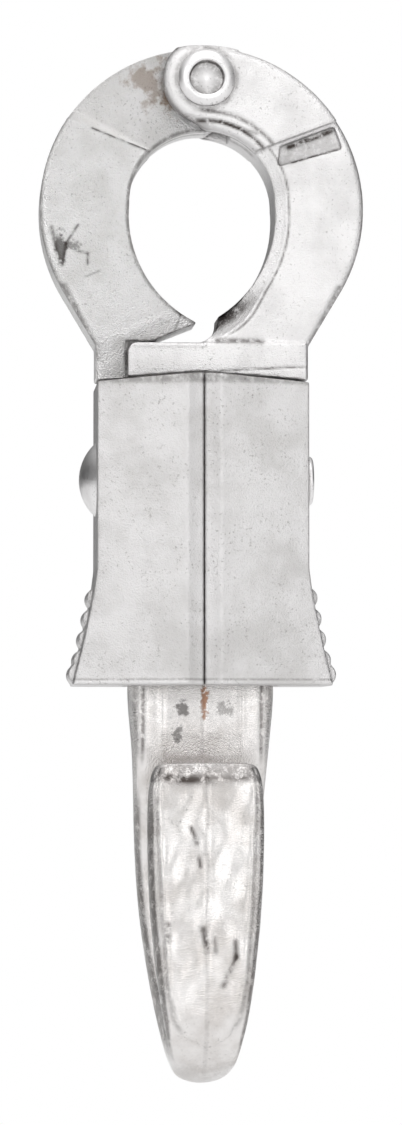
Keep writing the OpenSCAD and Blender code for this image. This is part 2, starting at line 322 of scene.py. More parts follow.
# %% Floor
FLOOR_DROP = 22.0
low_corner, high_corner = cad_box
let_go()
bpy.ops.mesh.primitive_plane_add(size=6, location=(0, 0, low_corner.z - FLOOR_DROP * MM))
floor = bpy.context.object
floor.name = "floor"
paper = bpy.data.materials.new("white_paper")
paper.use_nodes = True
paper_tree = paper.node_tree
paper_shader = paper_tree.nodes["Principled BSDF"]
paper_shader.inputs["Base Color"].default_value = (0.7, 0.7, 0.7, 1)
paper_shader.inputs["Emission Color"].default_value = (1, 1, 1, 1)
paper_shader.inputs["Emission Strength"].default_value = 0.28
paper_shader.inputs["Roughness"].default_value = 0.9
# the camera sees the paper burnt out to plain white, the object sees it as it is
burnt_out = paper_tree.nodes.new("ShaderNodeEmission")
burnt_out.inputs["Strength"].default_value = 1.0
paper_rays = paper_tree.nodes.new("ShaderNodeLightPath")
choice = paper_tree.nodes.new("ShaderNodeMixShader")
paper_tree.links.new(paper_rays.outputs["Is Camera Ray"], choice.inputs[0])
paper_tree.links.new(paper_shader.outputs[0], choice.inputs[1])
paper_tree.links.new(burnt_out.outputs[0], choice.inputs[2])
paper_tree.links.new(choice.outputs[0], paper_tree.nodes["Material Output"].inputs["Surface"])
floor.data.materials.append(paper)

# %% [markdown]
# ## The jaws
# Both jaws are zinc-plated castings. Their relief is pressed in as a function of place:
# a wide band along the eye of the fixed jaw, a double rim where its cheek meets the eye,
# a slope where the swinging jaw thins to its hinge tongue, and a face that falls back to
# its foot. Dirt settles in the same lines, and painted shade is laid along them as well,
# so both are stored in the same step.

# %% Distances that the relief is measured by
EYE_R = frame["record"]["mounts"][0]["dims"]["r_mm"]
PIVOT_X, PIVOT_Z = 0.5, 15.1
LOBE_X, LOBE_Z, LOBE_R = 5.6, -1.5, 14.5  # the two arcs that point the eye downwards
RING_R, RING_DROP = 19.7, 0.7
FOOT_HALF_W, FOOT_TOP, FLANK_SLOPE = 12.9, -17.5, 0.53
RIM_ROUND = 0.85  # how far the rounding of the ring's outer edge reaches in


def from_eye(x, z):
    """Distance outwards from the edge of the eye."""
    circle = np.hypot(x, z) - EYE_R
    lens = np.maximum(np.hypot(x - LOBE_X, z - LOBE_Z), np.hypot(x + LOBE_X, z - LOBE_Z)) - LOBE_R
    return np.where(z < 0, np.minimum(circle, lens), circle)


def from_outside(x, z):
    """Distance inwards from the outline of the ring and its feet."""
    ring = RING_R - np.hypot(x, z + RING_DROP)
    foot = FOOT_HALF_W + np.maximum(0, z - FOOT_TOP) * FLANK_SLOPE - np.abs(x)
    return np.where(z < -10, foot, ring)


def from_line(x, z, a, b):
    """Signed distance from the line a-b, and the place along it from 0 to 1."""
    ax, az = a
    dx, dz = b[0] - ax, b[1] - az
    length = math.hypot(dx, dz)
    across = ((x - ax) * -dz + (z - az) * dx) / length
    along = ((x - ax) * dx + (z - az) * dz) / length ** 2
    return across, along


def stroke(x, z, a, b, width):
    """A soft line from a to b, 1 at its middle."""
    across, along = from_line(x, z, a, b)
    length = math.hypot(b[0] - a[0], b[1] - a[1])
    beyond = np.maximum(0, np.abs(along - 0.5) - 0.5) * length
    return np.exp(-(across ** 2 + beyond ** 2) / width ** 2)


def strokes(x, z, marks):
    """Several strokes added up, each given as (strength, a, b, width)."""
    return sum(strength * stroke(x, z, a, b, width) for strength, a, b, width in marks)


# %% [markdown]
# ### Fixed jaw
# The right half has the two cheeks of the hinge, the arm that runs down to the foot, and
# the bar across the other jaw's foot. Its cheek ends in a low step where the arm begins.
# The step is kept from the CAD solid, and only the bevels beside the eye are new.

# %% Fixed jaw
STEP_LINE = ((6, 6.1), (14, 9.17))
BAR_TOP, BAR_LINE = -17.45, -20.75
fixed_jaw = casting_from("fixed_jaw", "jaw_fixed_casting")
x, y, z = grid_points(fixed_jaw)
side, depth = np.sign(y), np.abs(y)
gap = from_eye(x, z)
step_across, _ = from_line(x, z, *STEP_LINE)
on_arm = rise(step_across, 0.3, -0.5) * rise(x, 0.4, 1.4) * rise(z, -16.9, -15.6)
on_cheek = rise(step_across, -0.5, 0.3) * rise(z, -1, 2)
skin = rise(depth, 2.95, 3.6)
band_w = 1.65 + 0.9 * rise(z, -10, -15.5)
band = np.clip(1 - gap / band_w, 0, 1) * (gap > -1)
band_deep = 0.42 + 1.7 * rise(z, -9, -14.5)
inwards = on_arm * (band * band_deep + 0.10 * bump_at(gap, band_w + 0.1, 0.14)
                    - 0.10 * bump_at(gap, band_w - 0.25, 0.16))
near_eye = on_cheek * rise(x, -1.5, 1.0)
inwards += near_eye * (0.55 * np.clip(1 - gap / 0.9, 0, 1) ** 2 + 0.22 * bump_at(gap, 1.15, 0.22)
                       + 0.16 * bump_at(gap, 2.35, 0.25))
from_pivot = np.hypot(x - PIVOT_X, z - PIVOT_Z)
round_end = on_cheek * rise(x, 2.0, -0.5)
inwards += round_end * 0.5 * rise(from_pivot, 4.1, 5.4) ** 2
bar = rise(z, -16.6, -17.1) * rise(z, -21.9, -21.4)
bar_crack = bump_at(z, BAR_LINE + 0.06 * np.abs(x), 0.12) * (x > 2)
inwards += bar * (0.10 * bar_crack - 0.12 * bump_at(z, BAR_TOP, 0.16) * (x < 0.5))
outer = from_outside(x, z)
inwards += 0.45 * np.clip(1 - outer / RIM_ROUND, 0, 1) ** 2 * rise(z, -17.2, -16.6)
pocket_top, _ = from_line(x, z, (9.5, 6.95), (16.3, 9.55))
in_pocket = (rise(pocket_top, 0.1, -0.2) * rise(step_across, -3.4, -2.6) * rise(x, 8.8, 10.4)
             * rise(outer, 0.9, 1.5) * rise(z, 3.9, 4.9))
depth = depth - inwards * skin
# Painted shade makes up most of these dark lines: along the edge of the eye's band and deep in its lower
# part, round the cheek's end, a ring of painted occlusion round the rivet, in the roof of the eye, on the
# pocket's floor and edges with painted shadow under the cheek's edge, and dark lines round the outer rims.
# Dirt lies along the top of the bar; its crack, the double rim and the step's crease hold dirt and shade
# together.
dirt_and_shade_line = (0.75 * on_arm * bump_at(gap, band_w + 0.08, 0.13) + 1.0 * near_eye * bump_at(gap, 1.12, 0.24)
             + 0.75 * near_eye * bump_at(gap, 2.3, 0.24) + 0.55 * round_end * rise(from_pivot, 4.8, 5.2)
             + 0.40 * bump_at(from_pivot, 3.7, 0.3) * on_cheek
             + rise(gap, 0.3, 0.0) * (0.7 * bump_at(y, -3.7, 0.35) + 0.5 * bump_at(y, -1.2, 0.8)) * on_cheek
             + 0.30 * in_pocket + 0.6 * rise(outer, 0.45, 0.1) * bump_at(depth, 3.4, 0.7)
             + 0.95 * on_arm * rise(z, -10.0, -13.5) * rise(gap, 2.0, 0.8) + 0.7 * bar * bar_crack
             + strokes(x, z, [
                 (1.0, (10.6, 6.95), (15.9, 9.0), 0.26), (0.8, (11.0, 5.0), (16.9, 6.85), 0.14),
                 (0.8, (1.8, -16.8), (7.2, -16.9), 0.35), (0.5, (2.2, 9.9), (6.6, 8.4), 0.22)]))
press(fixed_jaw, x, side * depth, z, dirt_and_shade_line)
print("fixed jaw, deepest relief:", round(float((inwards * skin).max()), 2), "mm")

# %% [markdown]
# ### Swinging jaw
# The left half turns on the rivet with a tongue that is thinner than its arm, so a step
# slopes down to the tongue. It opens and rubs more than its mate: it has the scratches,
# in front only, and the rust-brown patch beside the hinge.

# %% Swinging jaw
RECESS_Y, FACE_DEPTH = 2.6, 4.0
swing_jaw = casting_from("swing_jaw", "jaw_swinging_casting")
x, y, z = grid_points(swing_jaw)
side, depth = np.sign(y), np.abs(y)
gap = from_eye(x, z)
# slope from the arm's face down to the recess, wide outside and narrow at the eye
above_step, along_step = from_line(x, z, (-5.9, 6.07), (-14.3, 9.3))
above_step = -above_step
slope_w = 0.25 + 1.15 * np.clip(along_step, 0, 1)
slope = (above_step > -0.15) & (above_step < slope_w) & (depth > RECESS_Y - 0.15) & (x < -4)
target = FACE_DEPTH - (FACE_DEPTH - RECESS_Y) * np.clip(above_step / slope_w, 0, 1)
depth = np.where(slope, np.maximum(depth, target), depth)
# the face falls back towards the foot, and the foot fills up beside the bar
below_bend, _ = from_line(x, z, (-12.9, -16.8), (-4.0, -13.0))
fall = 0.95 * rise(-below_bend, 0.0, 3.4)
lower = rise(z, -10.0, -12.0)
depth = np.where(depth > 3.3, depth - fall * lower, depth)
beside_bar = rise(x, -9.15, -9.35) * rise(z, -16.0, -16.9) * rise(depth, 2.2, 2.5)
depth = depth + beside_bar * np.maximum(0, 3.95 - fall - depth)
edge = 0.38 * np.clip(1 - gap / 0.5, 0, 1) * rise(depth, 3.2, 3.8)
outer = from_outside(x, z)
edge += 0.45 * np.clip(1 - outer / RIM_ROUND, 0, 1) ** 2 * rise(depth, 2.4, 3.4)
depth = depth - edge
# Painted shade lies along the eye's edge, in the roof of the eye and as dark lines round the outer rims;
# the step's line and the marks by the tip hold dirt and shade together, and the scratches are wear.
dirt_and_shade_line = 0.6 * rise(gap, 0.55, 0.25) * rise(gap, -0.2, 0.1) + strokes(x, z, [
    (0.9, (-13.4, 8.95), (-6.2, 6.1), 0.13), (0.6, (-2.6, -13.7), (-3.3, -15.6), 0.12),
    (0.5, (-3.0, -13.3), (-1.6, -14.0), 0.14)])
scratches = strokes(x, z, [
    (0.8, (-16.6, -5.2), (-15.1, -2.9), 0.16), (0.85, (-17.0, -7.8), (-16.5, -5.2), 0.22),
    (0.75, (-15.0, -6.1), (-13.9, -6.3), 0.15), (0.8, (-13.9, -6.3), (-13.9, -7.6), 0.15),
    (0.75, (-18.3, -3.2), (-17.4, -7.0), 0.24), (0.5, (-14.2, -9.2), (-12.4, -8.4), 0.11)])
dirt_and_shade_line += 0.6 * rise(outer, 0.45, 0.1) * bump_at(depth, 3.4, 0.7)
dirt_and_shade_line = (dirt_and_shade_line + scratches * (y < 0)) * rise(depth, 2.2, 2.6)
roof_dirt_and_shade = 0.7 * bump_at(y, -2.1, 0.3) + 0.5 * bump_at(y, -0.4, 0.6)
dirt_and_shade_line += rise(gap, 0.3, 0.0) * roof_dirt_and_shade * rise(z, 5, 7)
press(swing_jaw, x, side * depth, z, dirt_and_shade_line)
for jaw in (fixed_jaw, swing_jaw):
    smooth_faces(jaw, 60)
finish_piece(fixed_jaw, "hook", ["fixed_jaw"])
finish_piece(swing_jaw, "jaw", ["swing_jaw"])

# %% [markdown]
# ## The sleeve
# Two cast half-shells meet at a seam in front and behind. Beside the seam each shell has
# one long soft bend and then dips towards the seam. Its foot flares out under five thumb
# ribs and ends in a thin rim.

# %% Sleeve halves
RIDGE_Y, RIDGE_FLAT, FACE_SLOPE = 8.3, 2.7, 0.1863
SLEEVE_TOP, FOOT_RIM = -22.0, -58.4


def sleeve_half(node, name):
    """One half-shell of the sleeve with its dip at the seam and the rim at its foot."""
    half = casting_from(node, name, relax=5, grid=0.24)
    x, y, z = grid_points(half)
    side, depth = np.sign(y), np.abs(y)
    wide = np.abs(x)
    outer_y = RIDGE_Y - np.maximum(0, wide - RIDGE_FLAT) * FACE_SLOPE
    skin = rise(depth, outer_y - 0.9, outer_y - 0.3)
    dip = 0.42 * rise(wide, 2.0, 0.1) - 0.13 * bump_at(wide, 2.1, 0.45)
    rim = -0.16 * bump_at(z, FOOT_RIM, 0.28)
    depth = depth - skin * (dip + rim)
    # A dark seam line, a darker line just above the foot rim, and painted shadow along the top edge, where
    # the jaws overhang the sleeve.
    grime_and_shade = skin * (0.35 * rise(wide, 0.3, 0.1) + 0.5 * bump_at(z, FOOT_RIM + 0.4, 0.12)
                    + 0.5 * rise(z, SLEEVE_TOP - 0.6, SLEEVE_TOP))
    # the halves close up at the seam to a hairline
    x = x - np.sign(x) * 0.055 * rise(wide, 0.8, 0.15)
    press(half, x, side * depth, z, grime_and_shade)
    smooth_faces(half, 60)
    return half


for side in ("left", "right"):
    shell = sleeve_half(f"sleeve_{side}", f"sleeve_shell_{side}")
    finish_piece(shell, "sleeve", [f"sleeve_{side}"])

# %% [markdown]
# ## Turned parts
# Rivets and the plunger are bodies of revolution. A lathe shape can be spun from a
# profile, but drawing a disc out station by station - extrude the end face, then resize
# it - needs no loose profile and closes both ends by itself.

# %% Draw a disc out into a turned part
SIDES = 64
AXES = {"X": (0, math.pi / 2, 0), "Y": (-math.pi / 2, 0, 0), "Z": (0, 0, 0)}
AXIS_UNIT = {"X": Vector((1, 0, 0)), "Y": Vector((0, 1, 0)), "Z": Vector((0, 0, 1))}


def turned(name, axis, centre, stations):
    """A closed body of revolution. stations are (distance along the axis, radius) in mm, and
    centre is the point on the axis, in mm, that distances are counted from."""
    let_go()
    unit = AXIS_UNIT[axis]
    along, radius = stations[0]
    start = Vector(centre) + unit * along
    bpy.ops.mesh.primitive_circle_add(vertices=SIDES, radius=radius * MM, fill_type="NGON",
                                      location=start * MM, rotation=AXES[axis])
    piece = bpy.context.object
    piece.name = name
    bpy.ops.object.transform_apply(location=True, rotation=True, scale=True)
    bpy.ops.object.mode_set(mode="EDIT")
    bpy.ops.mesh.select_mode(type="FACE")
    bpy.ops.mesh.select_all(action="SELECT")
    for next_along, next_radius in stations[1:]:
        move = unit * (next_along - along) * MM
        bpy.ops.mesh.extrude_region_move(TRANSFORM_OT_translate={"value": move})
        here = (Vector(centre) + unit * next_along) * MM
        grow = next_radius / radius
        bpy.ops.transform.resize(value=(grow, grow, grow), center_override=here)
        along, radius = next_along, next_radius
    bpy.ops.mesh.select_all(action="SELECT")
    bpy.ops.mesh.remove_doubles(threshold=0.0005 * MM)
    bpy.ops.mesh.normals_make_consistent(inside=False)
    bpy.ops.object.mode_set(mode="OBJECT")
    smooth_faces(piece, 40)
    return piece


def arc(centre, radius, start, end, steps):
    """Stations along an arc in the (distance, radius) plane, angles in degrees."""
    angles = [math.radians(start + (end - start) * i / steps) for i in range(steps + 1)]
    return [(centre[0] + radius * math.cos(a), centre[1] + radius * math.sin(a)) for a in angles]


# %% [markdown]
# ### Hinge rivet
# A semi-tubular rivet: the solid head sits at the back, and the hollow end is rolled over
# the front cheek by the setting tool, which leaves a smooth lip round a shallow cup.

# %% Hinge rivet
rivet_low, rivet_high = (Vector(corner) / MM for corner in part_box("pivot_rivet"))
RIVET_X = (rivet_low.x + rivet_high.x) / 2
RIVET_Z = (rivet_low.z + rivet_high.z) / 2
HEAD_R = (rivet_high.x - rivet_low.x) / 2
CHEEK_Y = 4.6
SHANK_R = 2.2
ROLL_R, HOLLOW_R = 0.52, 2.05
front = rivet_low.y
stations = (
    [(rivet_high.y, 0.6), (rivet_high.y, HEAD_R - 0.7)]
    + arc((rivet_high.y - 0.45, HEAD_R - 0.7), 0.45, 0, 90, 5)
    + [(CHEEK_Y + 0.06, HEAD_R - 0.15), (CHEEK_Y + 0.06, SHANK_R), (-CHEEK_Y - 0.02, SHANK_R),
       (-CHEEK_Y - 0.02, HEAD_R - 0.25)]
    + arc((front + 0.62, HEAD_R - 0.42), 0.42, 60, 120, 5)
    + arc((front + ROLL_R, HEAD_R - 0.95), ROLL_R, 150, 225, 7)
    + [(front + 0.9, HOLLOW_R + 0.05), (front + 1.25, HOLLOW_R - 0.1), (front + 1.75, 0.35),
       (front + 1.8, 0.05)]
)
rivet = turned("hinge_rivet", "Y", (RIVET_X, 0, RIVET_Z), stations)
x, y, z = grid_points(rivet)
from_axis = np.hypot(x - RIVET_X, z - RIVET_Z)
seat = bump_at(from_axis, HEAD_R - 0.2, 0.25) * bump_at(y, -CHEEK_Y, 0.25)
# Painted shade round the rim of the cup and where the head sits against the cheek.
press(rivet, x, y, z, (0.9 * bump_at(from_axis, HOLLOW_R, 0.2) * rise(y, front + 0.6, front + 0.9)
                       + 0.9 * seat) * (y < 0))
finish_piece(rivet, "hook", ["pivot_rivet"])

# %% [markdown]
# ### Cross rivet
# It clamps the two shells together and carries them on the spring. Its wide domed head
# is on the left, and the small set end is on the right.

# %% Cross rivet of the sleeve
pin_low, pin_high = (Vector(corner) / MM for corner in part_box("sleeve_pin"))
PIN_Z = (pin_low.z + pin_high.z) / 2
DOME_R = (pin_high.z - pin_low.z) / 2
WALL_X = 12.8
PIN_R = 2.0
dome_h = -WALL_X - pin_low.x
sphere_r = (DOME_R ** 2 + dome_h ** 2) / (2 * dome_h)
cap = math.degrees(math.asin(DOME_R / sphere_r))
stations = (
    arc((pin_low.x + sphere_r, 0), sphere_r, 179.5, 180 - cap, 10)
    + [(-WALL_X - 0.02, DOME_R - 0.05), (-WALL_X - 0.02, PIN_R), (WALL_X + 0.02, PIN_R),
       (WALL_X + 0.02, 2.9), (WALL_X + 0.45, 3.0)]
    + arc((WALL_X + 0.5, 2.55), 0.45, 90, 0, 5)
    + [(WALL_X + 0.86, 1.2), (WALL_X + 0.7, 0.2)]
)
cross_rivet = turned("sleeve_cross_rivet", "X", (0, 0, PIN_Z), stations)
finish_piece(cross_rivet, "sleeve", ["sleeve_pin"])

# %% [markdown]
# ### Plunger and tang rivets
# These are hidden while the sleeve is up. The plunger is a plain turned slug with broken
# edges, and the two tang rivets are set flush, so they are short drums.

# %% Plunger and tang rivets
EDGE = 0.3
low, high = (Vector(corner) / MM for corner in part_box("spring_plunger"))
plunger_r = (high.x - low.x) / 2
plunger = turned("spring_plunger_turned", "Z", (0, 0, 0), [
    (low.z, 0.9), (low.z, plunger_r - EDGE), (low.z + EDGE, plunger_r), (high.z - EDGE, plunger_r),
    (high.z, plunger_r - EDGE), (high.z, 0.5)])
finish_piece(plunger, "sleeve", ["spring_plunger"])
for side in ("left", "right"):
    low, high = (Vector(corner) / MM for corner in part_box(f"tang_rivet_{side}"))
    r = (high.x - low.x) / 2
    middle = ((low.x + high.x) / 2, 0, (low.z + high.z) / 2)
    tang_rivet = turned(f"tang_rivet_{side}_turned", "Y", middle, [
        (low.y, 0.3), (low.y, r - 0.2), (low.y + 0.2, r), (high.y - 0.2, r), (high.y, r - 0.2),
        (high.y, 0.3)])
    finish_piece(tang_rivet, "hook", [f"tang_rivet_{side}"])

# %% [markdown]
# ## The hook
# The hook is forged-looking: one bar that leaves the sleeve, swings back, runs down,
# turns through the bowl and comes up as a nose. A cube with rounded long edges is its
# first section. Its end face is drawn out from station to station, turned and resized
# each time, and a Subdivision Surface makes the long flowing form of it.

# %% Draw the hook out from station to station
BOWL = (-0.3, -93.7)
BOWL_RADIUS = 9.3
# centre y, centre z, turn from hanging straight down, half width, half thickness
NECK = [(0.0, -59.6, 0, 9.0, 4.5), (0.1, -63.5, 0, 8.6, 4.5), (0.5, -67.2, 12, 8.25, 4.35),
        (4.3, -73.0, 33, 7.95, 4.0), (7.6, -78.2, 18, 7.7, 3.7), (8.7, -84.0, 3, 7.3, 3.6),
        (9.0, -89.5, 0, 6.7, 3.65)]
NOSE = [(-9.65, -89.5, -180, 6.35, 3.45), (-9.8, -84.0, -180, 6.8, 3.15), (-10.0, -78.0, -181, 7.0, 2.8),
        (-10.15, -73.0, -182, 7.0, 2.55), (-10.2, -70.0, -182, 6.8, 2.35), (-10.15, -68.5, -182, 6.3, 2.1),
        (-10.1, -67.8, -182, 5.6, 1.7)]


def bowl_stations():
    """Stations round the bowl, narrowing towards its lowest point."""
    made = []
    for turn in range(15, 180, 21):
        a = math.radians(turn)
        y = BOWL[0] + BOWL_RADIUS * math.cos(a)
        z = BOWL[1] - BOWL_RADIUS * math.sin(a)
        made.append((y, z, -turn, 5.95 - 2.4 * math.sin(a) ** 1.3, 3.75 + 0.2 * math.sin(a)))
    return made


START = (0.0, -53.0, 0, 8.7, 4.4)
let_go()
bpy.ops.mesh.primitive_cube_add(size=2)
hook = bpy.context.object
hook.name = "hook_and_neck"
edit(hook)
bpy.ops.object.mode_set(mode="OBJECT")
for cube_edge in hook.data.edges:
    a, b = (hook.data.vertices[v].co for v in cube_edge.vertices)
    cube_edge.select = abs(a.z - b.z) > 1
bpy.ops.object.mode_set(mode="EDIT")
bpy.ops.mesh.bevel(offset=0.34, segments=2, profile=0.5, affect="EDGES")
bpy.ops.mesh.select_all(action="SELECT")
bpy.ops.transform.resize(value=(START[3] * MM, START[4] * MM, 1.5 * MM))
bpy.ops.transform.translate(value=(0, START[0] * MM, (START[1] + 1.5) * MM))
bpy.ops.object.mode_set(mode="OBJECT")
bpy.ops.object.transform_apply(location=True, rotation=True, scale=True)
edit(hook, "FACE")
bpy.ops.object.mode_set(mode="OBJECT")
for face in hook.data.polygons:
    face.select = face.normal.z < -0.9
bpy.ops.object.mode_set(mode="EDIT")

# transform.rotate turns the other way when Blender has no window
TURN_SIGN = -1


def turn_end(degrees, centre):
    bpy.ops.transform.rotate(value=TURN_SIGN * math.radians(degrees), orient_axis="X",
                             orient_type="GLOBAL", center_override=centre)


here = START
for there in NECK + bowl_stations() + NOSE:
    step = (0, (there[0] - here[0]) * MM, (there[1] - here[1]) * MM)
    centre = (0, there[0] * MM, there[1] * MM)
    bpy.ops.mesh.extrude_region_move(TRANSFORM_OT_translate={"value": step})
    turn_end(-here[2], centre)
    bpy.ops.transform.resize(value=(there[3] / here[3], there[4] / here[4], 1), center_override=centre)
    turn_end(there[2], centre)
    here = there
bpy.ops.mesh.select_all(action="SELECT")
bpy.ops.mesh.normals_make_consistent(inside=False)
bpy.ops.object.mode_set(mode="OBJECT")
smoother = hook.modifiers.new("flow", "SUBSURF")
smoother.levels = smoother.render_levels = 3
apply_all(hook)
hook.data.remesh_voxel_size = 0.25 * MM
pick_up(hook)
bpy.ops.object.voxel_remesh()
relax_skin(hook, 12)

# %% [markdown]
# ### The hook's surface
# The nose has a raised rim round a panel with a parting line down its middle, and the
# panel is gently wavy, as thick bright plating over a rough casting is. The relief
# is pushed along the surface, since the hook faces many ways.

# %% Relief of the hook
PANEL_FOOT = -101.6
NOSE_TOP = -68.0
LINE_X, SHOULDER_X = 4.85, 7.15
x, y, z = grid_points(hook)
normal = np.empty(len(hook.data.vertices) * 3)
hook.data.vertices.foreach_get("normal", normal)
nx, ny, nz = normal.reshape(-1, 3).T
wide = np.abs(x)
neck_front = rise(ny, -0.25, -0.7) * rise(z, -69, -66) * rise(y, 0, -2)
nose_front = rise(ny, 0.1, -0.5) * rise(y, -4, -8) * rise(z, NOSE_TOP + 1, NOSE_TOP - 0.5)
panel_w = np.interp(-z, [68, 71, 74, 86, 94, 98, 100.3, -PANEL_FOOT],
                    [5.4, 5.6, 5.6, 5.0, 4.4, 3.6, 2.4, 0.0])
panel_edge = np.where(z > PANEL_FOOT, wide - panel_w, 3.0)
rim = bump_at(panel_edge, 0.0, 0.30) * nose_front * rise(z, -69.8, -71.0)
step_in = rise(panel_edge, 0.0, 0.5) * nose_front
parting = bump_at(x, 0.0, 0.16)
inwards = (-0.10 * rim + 0.12 * step_in * rise(z, -102, -100) - 0.07 * parting * (neck_front + nose_front)
           - 0.10 * bump_at(wide, LINE_X, 0.32) * neck_front
           + 0.10 * bump_at(wide, SHOULDER_X, 0.22) * neck_front
           + 0.35 * nose_front * rise(z, -70.6, -69.0) ** 2)
waves = (np.sin(x * 1.1 + z * 0.35 + 0.7) * np.sin(z * 0.62 + 1.3) + 0.6 * np.sin(x * 1.9 - z * 0.9)
         * np.sin(z * 0.31 + x * 0.5))
inwards += 0.085 * waves * nose_front * rise(z, -69, -73)
# Most of these darks are painted shade and painted reflection: the side faces of the shank and nose are
# darkened as painted shade, a band across the top of the nose is a painted reflection of the sleeve's dark
# underside, and the neck's outer edges and the top of the neck are painted shade. The grooves round the
# panel and at the neck's shoulders, and the smudge under the nose's top band, hold dirt and painted shade
# together; the parting line is a dark joint, and the strokes on the nose are dirt.
shank_side_shade = rise(np.abs(nx), 0.45, 0.8) * rise(z, -70, -75) * rise(z, -104, -101)
dirt_and_shade_line = (0.40 * bump_at(panel_edge, 0.4, 0.4) * nose_front * rise(z, -71, -72.5) * rise(z, -100.5, -99)
             + 0.45 * parting * (neck_front * (0.5 + 0.5 * rise(z, -63, -60)) + 0.6 * nose_front)
             + 0.75 * bump_at(wide, 7.2, 0.2) * neck_front + 0.35 * rise(wide, 7.3, 8.2) * neck_front
             + 0.62 * rise(z, -70.6, -69.6) * nose_front + 0.13 * rise(z, -68.5, -66) * rise(-ny, 0.2, 0.6)
             + 0.7 * shank_side_shade
             + 0.8 * bump_at(z, -70.2 + 0.02 * x * x, 0.6) * nose_front * rise(wide, 6.2, 4.5)
             * (0.35 + 0.65 * bump_at(x, -2.6, 2.2))
             + nose_front * strokes(x, z, [
                 (0.95, (-1.9, -75.6), (-1.2, -77.4), 0.26), (0.95, (-1.0, -79.2), (-0.8, -80.2), 0.22),
                 (0.95, (-0.5, -87.5), (-0.1, -90.0), 0.36), (0.7, (0.9, -88.6), (1.0, -90.2), 0.22),
                 (0.9, (3.3, -89.0), (3.4, -90.8), 0.32), (0.8, (3.4, -90.8), (1.9, -94.2), 0.28),
                 (0.8, (-4.6, -87.0), (-4.6, -88.8), 0.35)]))
round_under = 0.9 * rise(z, -103.5, -106.8) * (wide / 3.6) ** 2
press(hook, x - nx * inwards, y - ny * inwards, z - nz * inwards + round_under, dirt_and_shade_line)
smooth_faces(hook, 60)
hook_low = min(v.co.z for v in hook.data.vertices) / MM
print("hook reaches down to", round(hook_low, 2), "mm")

# %% [markdown]
# ### The stem
# The stem is part of the same casting, hidden in the sleeve until it slides down. It
# comes from the CAD solid, cut off where the drawn-out hook takes over.

# %% Stem inside the sleeve
SPLIT_Z = -55.0
stem = casting_from("hook_body", "hook_stem", relax=4, grid=0.3)
edit(stem)
bpy.ops.mesh.select_all(action="SELECT")
bpy.ops.mesh.bisect(plane_co=(0, 0, SPLIT_Z * MM), plane_no=(0, 0, 1), use_fill=True, clear_inner=True)
bpy.ops.object.mode_set(mode="OBJECT")
smooth_faces(stem)
finish_piece(hook, "hook", ["hook_body"])
finish_piece(stem, "hook", ["hook_body"])

# %% [markdown]
# ## The return spring
# A compression spring is one wire on a helix. A small circle beside the axis, carried
# round and down by a Screw modifier, makes it in one go, and the cut ends are filled.

# %% Spring
spring_low, spring_high = (Vector(corner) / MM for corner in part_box("return_spring"))
WIRE_R = 0.35
COILS = 11
coil_r = (spring_high.x - spring_low.x) / 2 - WIRE_R
pitch = (spring_high.z - spring_low.z - 2 * WIRE_R) / COILS
let_go()
bpy.ops.mesh.primitive_circle_add(vertices=12, radius=WIRE_R * MM, rotation=(math.pi / 2, 0, 0),
                                  location=(coil_r * MM, 0, (spring_low.z + WIRE_R) * MM))
spring = bpy.context.object
spring.name = "return_spring_wire"
bpy.ops.object.transform_apply(location=True, rotation=True, scale=True)
screw = spring.modifiers.new("coil", "SCREW")
screw.axis = "Z"
screw.angle = math.tau
screw.screw_offset = pitch * MM
screw.iterations = COILS
screw.steps = screw.render_steps = 28
screw.use_merge_vertices = False
apply_all(spring)
edit(spring, "VERT")
bpy.ops.mesh.select_all(action="SELECT")
bpy.ops.mesh.remove_doubles(threshold=0.001 * MM)
bpy.ops.mesh.select_all(action="DESELECT")
bpy.ops.mesh.select_non_manifold(extend=False)
bpy.ops.mesh.edge_face_add()
bpy.ops.mesh.select_all(action="SELECT")
bpy.ops.mesh.normals_make_consistent(inside=False)
bpy.ops.object.mode_set(mode="OBJECT")
bpy.ops.object.shade_smooth()
finish_piece(spring, "hook", ["return_spring"])
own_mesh(spring)

# %% [markdown]
# ## Effects that several finishes share
# Plated castings share four things: a fine speckle of open pores, soft blotches where the
# plating thins, dirt and painted shade in corners, and dark marks in known places. Each is a
# node group that is built once and placed in every finish with its own values.

# %% Node group helpers
def new_group(name, inputs, outputs):
    """An empty shader node group with typed, named sockets."""
    group = bpy.data.node_groups.new(name, "ShaderNodeTree")
    for label, kind, value in inputs:
        socket = group.interface.new_socket(label, in_out="INPUT", socket_type=kind)
        if value is not None:
            socket.default_value = value
    for label, kind in outputs:
        group.interface.new_socket(label, in_out="OUTPUT", socket_type=kind)
    return group, group.nodes.new("NodeGroupInput"), group.nodes.new("NodeGroupOutput")


def add(tree, kind, settings=None, **inputs):
    """A node with its settings, and its inputs set or linked by name."""
    node = tree.nodes.new(kind)
    for key, value in (settings or {}).items():
        setattr(node, key, value)
    for key, value in inputs.items():
        socket = node.inputs[int(key[1:])] if key[0] == "i" and key[1:].isdigit() else \
            node.inputs[key.replace("_", " ")]
        if isinstance(value, bpy.types.NodeSocket):
            tree.links.new(value, socket)
        else:
            socket.default_value = value
    return node


def noise(tree, where, scale, detail=4.0, rough=0.55):
    """Noise value with a scale in features per metre."""
    made = add(tree, "ShaderNodeTexNoise", Vector=where, Scale=scale, Detail=detail, Roughness=rough)
    return made.outputs["Fac"]


def between(tree, value, low, high, to_low=0.0, to_high=1.0):
    """Smooth step of a value from low to high."""
    made = add(tree, "ShaderNodeMapRange", {"interpolation_type": "SMOOTHSTEP"}, Value=value,
               From_Min=low, From_Max=high, To_Min=to_low, To_Max=to_high)
    return made.outputs["Result"]


def maths(tree, operation, a, b):
    """One step of arithmetic on two values."""
    return add(tree, "ShaderNodeMath", {"operation": operation}, i0=a, i1=b).outputs[0]


# %% [markdown]
# ### Pores
# Castings gas a little as they set, and plating doesn't bridge the pinholes. Fine noise
# cut to dots makes them, and slow noise gathers them in patches.

